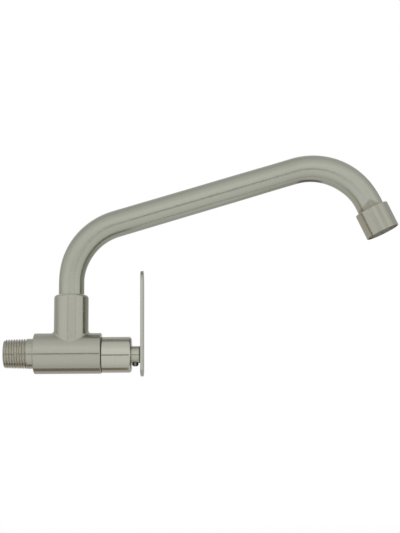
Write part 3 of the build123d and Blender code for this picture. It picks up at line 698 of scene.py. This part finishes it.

# %% [markdown]
# The tube's steel.
# The tube was polished before it was bent, and bending stretched and dulled it. Above the collar it is
# painted a darker grey-brown, whose edge falls off to both sides: each side is a slope and a height in mm
# above the collar. Under the second bend a brown reflection is painted on the tube, and the stretch towards
# the nozzle is painted a little paler, which is painted light that makes up for its rougher polish.


# %% Polished tube
def spout_dullness(tree):
    """Bending stretched the steel, so the polish is softer round both bends."""
    leg_top = (45.0, 62.0)
    slope_start = (55.0, 95.0)
    slope_end = (140.0, 225.0)
    first_added, second_added = 0.07, 0.12
    parts = place_parts(tree)
    above_leg = add_node(tree, MAP_RANGE, [parts["Z"], *metres(leg_top)])
    before_slope = add_node(tree, MAP_RANGE, [parts["X"], *metres(slope_start), first_added, 0.0])
    past_slope = add_node(tree, MAP_RANGE, [parts["X"], *metres(slope_end), 0.0, second_added])
    first_bend = add_node(tree, MATH, [above_leg, before_slope], operation="MULTIPLY")
    return add_node(tree, MATH, [first_bend, past_slope], operation="ADD")


def spout_marks(tree):
    """Painted light on a stretch near the nozzle, a darker patch above the collar, and a painted brown
    reflection under the second bend.
    """
    patch_edges = ((0.44, 5.9), (-1.04, 6.0))
    patch_fade = (-0.5, 0.7)
    lightened_stretch = (180.0, 228.0)
    reflection_middle = (194.5, 0.0, 120.75)
    reflection_squeeze = (0.6, 0.6, 3.0)
    reflection_reach = (4.5, 6.0)
    patch_strength, reflection_strength = 0.6, 0.95
    place = add_node(tree, "ShaderNodeTexCoord").outputs["Object"]
    offset = add_node(tree, VECTOR_MATH, [place, collar_top], operation="SUBTRACT")
    upward = tuple(-side for side in nozzle_ahead)
    above = add_node(tree, VECTOR_MATH, [offset, upward], operation="DOT_PRODUCT").outputs["Value"]
    across = add_node(tree, VECTOR_MATH, [offset, nozzle_outward], operation="DOT_PRODUCT").outputs["Value"]
    edges = []
    for rise, height in patch_edges:
        slant = add_node(tree, MATH, [across, rise], operation="MULTIPLY")
        edges.append(add_node(tree, MATH, [slant, height * MM], operation="ADD"))
    top = add_node(tree, MATH, edges, operation="MINIMUM")
    below_top = add_node(tree, MATH, [top, above], operation="SUBTRACT")
    dark_patch = add_node(tree, MAP_RANGE, [below_top, *metres(patch_fade), 0.0, patch_strength])
    nozzle_lightening = add_node(tree, MAP_RANGE, [place_parts(tree)["X"], *metres(lightened_stretch)])
    from_reflection = add_node(tree, VECTOR_MATH, [place, metres(reflection_middle)], operation="SUBTRACT")
    squeezed = add_node(tree, VECTOR_MATH, [from_reflection, reflection_squeeze], operation="MULTIPLY")
    reach = add_node(tree, VECTOR_MATH, [squeezed], operation="LENGTH").outputs["Value"]
    brown_reflection = add_node(tree, MAP_RANGE, [reach, *metres(reflection_reach), reflection_strength, 0.0])
    # The paler stretch is painted light and the brown under the second bend is a painted reflection. The
    # patch above the collar is only darker.
    return [(nozzle_lightening, "#b2b3a7"), (dark_patch, "#8f8a7c"), (brown_reflection, "#5e5042")]


tube_stainless = brushed_metal(
    "tube_stainless_polished", "#a9aa9e", 0.235, spout_lay, dullness=spout_dullness, marks=spout_marks
)
print("the tube wears", tube_stainless.name)

# %% [markdown]
# The neck's and the lever's steel.
# The neck is turned as bright as the bonnet. The lever was brushed on a coarser belt and is the dullest, an
# even pale grey with no clear line in it.

# %% Neck and lever
neck_stainless = brushed_metal("neck_stainless_turned", "#adada0", 0.15, valve_lay)
plate_stainless = brushed_metal("plate_stainless_brushed", "#b1b3a8", 0.3, lever_lay, anisotropy=0.7)
outside = {
    "body": cast_stainless,
    "bonnet": turned_stainless,
    "handle_hub": neck_stainless,
    "handle_plate": plate_stainless,
    "spout_tube": tube_stainless,
    "aerator_housing": collar_stainless,
}
wear(outside)
print("steels that show:", len(outside))

# %% [markdown]
# The metals inside.
# The valve's carrier and spindle are turned from yellow brass bar, and the rings that hold things together
# are spring steel. They are hidden in the assembled tap and show when it is taken apart, so they get the
# same care: brass is warmer and its tool marks are wider than a belt's scratches, spring steel is a colder
# grey, and the swivel's tail and the ferrule are left duller than what shows. Drawn wire gives the screens a
# smooth shine. The set screw is steel blackened in a hot oxide bath, which has worn to a dark grey with a
# clear shine.

# %% Brass, spring steel and black oxide
brass_valve = brushed_metal(
    "brass_turned", "#c8a45c", 0.3, valve_lay, anisotropy=0.6, scratch=0.2, streak=0.05
)
tail_stainless = brushed_metal("swivel_tail_stainless_turned", "#abab9f", 0.28, swivel_lay, scratch=0.2)
ferrule_stainless = brushed_metal("ferrule_stainless_turned", "#abab9f", 0.28, nozzle_lay, scratch=0.2)
spring_valve = brushed_metal("circlip_spring_steel", "#8d8d89", 0.35, valve_lay, anisotropy=0.4)
spring_swivel = brushed_metal("snap_ring_spring_steel", "#8d8d89", 0.35, swivel_lay, anisotropy=0.4)
black_oxide = brushed_metal("black_oxide_screw_steel", "#7b7972", 0.24, screw_lay, anisotropy=0.3, streak=0.1)
mesh_stainless = brushed_metal("mesh_stainless_drawn", "#b0b0a6", 0.3, nozzle_lay, anisotropy=0.3)
inside = {
    "headwork_housing": brass_valve,
    "spindle": brass_valve,
    "spout_tail": tail_stainless,
    "nozzle_ferrule": ferrule_stainless,
    "spindle_circlip": spring_valve,
    "spout_snap_ring": spring_swivel,
    "handle_screw": black_oxide,
    "aerator_inlet_screen": mesh_stainless,
    "aerator_outlet_screen": mesh_stainless,
}
wear(inside)
print("metal pieces inside:", len(inside))

# %% [markdown]
# Rubber, plastic, fibre and ceramic.
# These aren't metals, so they have a colour of their own under a thin shine. One function makes them all:
# a fine grain that roughens the surface, and a slow mottle that shifts the colour a little. The grain is a
# mould's texture on plastic, dusty bloom on rubber, short fibres on the gasket and lapping on the ceramic.
# The ceramic is nearly white and mirrors clearly. The slip washers look waxy, the white mouldings a little
# warmer, the gasket dull and brick red. The rubber is nearly black, but the ring behind the lever is grey.

# %% Bodies with a colour of their own
grain_unevenness = 0.05
grain_strength = 0.4


def coloured_body(name, colours, roughness, ior, grain, mottle, depth):
    """A material between two colours. The grain's and mottle's sizes and the grain's depth are in mm."""
    material, tree = new_material(name)
    place = add_node(tree, "ShaderNodeTexCoord").outputs["Object"]
    fine = add_node(tree, NOISE, {"Vector": place, "Scale": 1 / (grain * MM), "Detail": 2.0})
    slow = add_node(tree, NOISE, {"Vector": place, "Scale": 1 / (mottle * MM), "Detail": 3.0})
    share = add_node(tree, MAP_RANGE, [slow, *slow_range])
    first, second = (linear(code) for code in colours)
    colour = add_node(tree, MIX, {0: share, 6: first, 7: second}, data_type="RGBA").outputs[2]
    uneven = (roughness - grain_unevenness, roughness + grain_unevenness)
    rough = add_node(tree, MAP_RANGE, [fine, *fine_range, *uneven])
    relief = {"Height": fine, "Strength": grain_strength, "Distance": depth * MM}
    bump = add_node(tree, "ShaderNodeBump", relief)
    shader = add_node(
        tree,
        "ShaderNodeBsdfPrincipled",
        {"Base Color": colour, "Roughness": rough, "IOR": ior, "Normal": bump},
    )
    add_node(tree, "ShaderNodeOutputMaterial", [shader])
    return material


black_rubber = coloured_body("nitrile_rubber_black", ("#1d1d1b", "#292826"), 0.55, 1.52, 0.15, 4.0, 0.01)
red_fibre = coloured_body("vulcanised_fibre_red", ("#7c3a2c", "#8d4a39"), 0.75, 1.5, 0.3, 2.0, 0.03)
slip_plastic = coloured_body("ptfe_slip_washer", ("#eceae4", "#e4e2da"), 0.4, 1.35, 0.2, 5.0, 0.005)
moulded_plastic = coloured_body("acetal_moulded_white", ("#dcdad2", "#d4d2c9"), 0.38, 1.48, 0.2, 6.0, 0.008)
alumina = coloured_body("alumina_lapped", ("#efeee9", "#e6e5de"), 0.14, 1.76, 0.05, 3.0, 0.001)
grey_rubber = coloured_body("epdm_rubber_grey", ("#5c5b54", "#66655d"), 0.55, 1.52, 0.15, 4.0, 0.01)
wear(
    {
        "hub_ring": grey_rubber,
        "bonnet_seal": black_rubber,
        "seat_seal": black_rubber,
        "spindle_o_ring_inner": black_rubber,
        "spindle_o_ring_outer": black_rubber,
        "spout_o_ring_lower": black_rubber,
        "spout_o_ring_upper": black_rubber,
        "aerator_washer": black_rubber,
        "spindle_thrust_washer": slip_plastic,
        "spout_base_washer": slip_plastic,
        "aerator_insert": moulded_plastic,
        "aerator_diffuser": moulded_plastic,
        "fixed_disc": alumina,
        "moving_disc": alumina,
        "headwork_gasket": red_fibre,
    }
)
print("all", len(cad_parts), "loaded pieces have a finish")

# %% [markdown]
# The screen in the mouth.
# The water leaves through a disc of woven stainless wire. The loaded model has a pierced disc there, which
# has the right size but looks punched. In a plain weave each wire goes over one crossing wire and under the
# next, so its height is a cosine whose half wave is the distance between two wires. A wire is made from a
# small circle, extruded in short steps that follow the cosine. Six sides are enough for a wire this thin.

# %% Woven screen
screen_low, screen_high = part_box("aerator_outlet_screen")
screen_radius = 9.01
rim_thickness = 0.3
wire_pitch = 0.9
wire_radius = 0.14
steps_per_pitch = 4
wire_sides = 6
weave = bmesh.new()
wire_mesh = bpy.data.meshes.new("wire")


def weave_wire(offset, phase, turn):
    """One wire along X, at an offset from the middle, that waves over and under its neighbours."""
    half_length = math.sqrt((screen_radius - rim_thickness) ** 2 - offset**2)
    step_count = round(2 * half_length / wire_pitch * steps_per_pitch)
    stations = [half_length * (2 * index / step_count - 1) for index in range(step_count + 1)]
    heights = [wire_radius * math.cos(math.pi * (station / wire_pitch + phase)) for station in stations]
    start = Matrix.Translation(Vector((stations[0], offset, heights[0])) * MM) @ lengthwise
    wire = bmesh.new()
    ring = bmesh.ops.create_circle(wire, segments=wire_sides, radius=wire_radius * MM, matrix=turn @ start)
    edges = list({edge for corner in ring["verts"] for edge in corner.link_edges})
    for index in range(step_count):
        grown = bmesh.ops.extrude_edge_only(wire, edges=edges)["geom"]
        edges = [part for part in grown if isinstance(part, bmesh.types.BMEdge)]
        corners = [part for part in grown if isinstance(part, bmesh.types.BMVert)]
        rise = heights[index + 1] - heights[index]
        move = turn @ Vector((stations[index + 1] - stations[index], 0.0, rise)) * MM
        bmesh.ops.translate(wire, verts=corners, vec=move)
    bmesh.ops.holes_fill(wire, edges=[edge for edge in wire.edges if edge.is_boundary], sides=wire_sides)
    wire.to_mesh(wire_mesh)
    wire.free()
    weave.from_mesh(wire_mesh)


wires_a_side = int((screen_radius - 2 * rim_thickness) / wire_pitch)
for row in range(-wires_a_side, wires_a_side + 1):
    weave_wire(row * wire_pitch, row, Matrix.Identity(4))
    weave_wire(row * wire_pitch, row + 1, Matrix.Rotation(math.radians(90), 4, "Z"))
bpy.data.meshes.remove(wire_mesh)
print("wires woven:", 2 * (2 * wires_a_side + 1))

# %% [markdown]
# A rolled rim goes round the wires' closed ends: a circle spun about the screen's axis.
# Then the screen is turned to the nozzle's direction and put where the pierced disc is.

# %% Screen's rim and place
rim_sides = 12
rim_steps = 72
rim_place = Matrix.Translation((MM * (screen_radius - rim_thickness), 0.0, 0.0)) @ upright
rim = bmesh.ops.create_circle(weave, segments=rim_sides, radius=rim_thickness * MM, matrix=rim_place)
rim_edges = list({edge for corner in rim["verts"] for edge in corner.link_edges})
bmesh.ops.spin(
    weave,
    geom=rim["verts"] + rim_edges,
    cent=(0.0, 0.0, 0.0),
    axis=(0.0, 0.0, 1.0),
    angle=2 * math.pi,
    steps=rim_steps,
    use_merge=True,
)
screen_turn = Matrix.Rotation(math.radians(90.0) + nozzle_angle, 4, "Y")
screen_place = Matrix.Translation((screen_low + screen_high) / 2) @ screen_turn
bmesh.ops.transform(weave, matrix=screen_place, verts=weave.verts)
bmesh.ops.recalc_face_normals(weave, faces=weave.faces)
screen_mesh = bpy.data.meshes.new("woven_screen")
weave.to_mesh(screen_mesh)
weave.free()
screen_mesh.shade_smooth()
woven_screen = new_object("woven_screen", screen_mesh, mesh_stainless)
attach(woven_screen, "spout")
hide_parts("aerator_outlet_screen")
print("the woven screen has", len(screen_mesh.polygons), "faces")
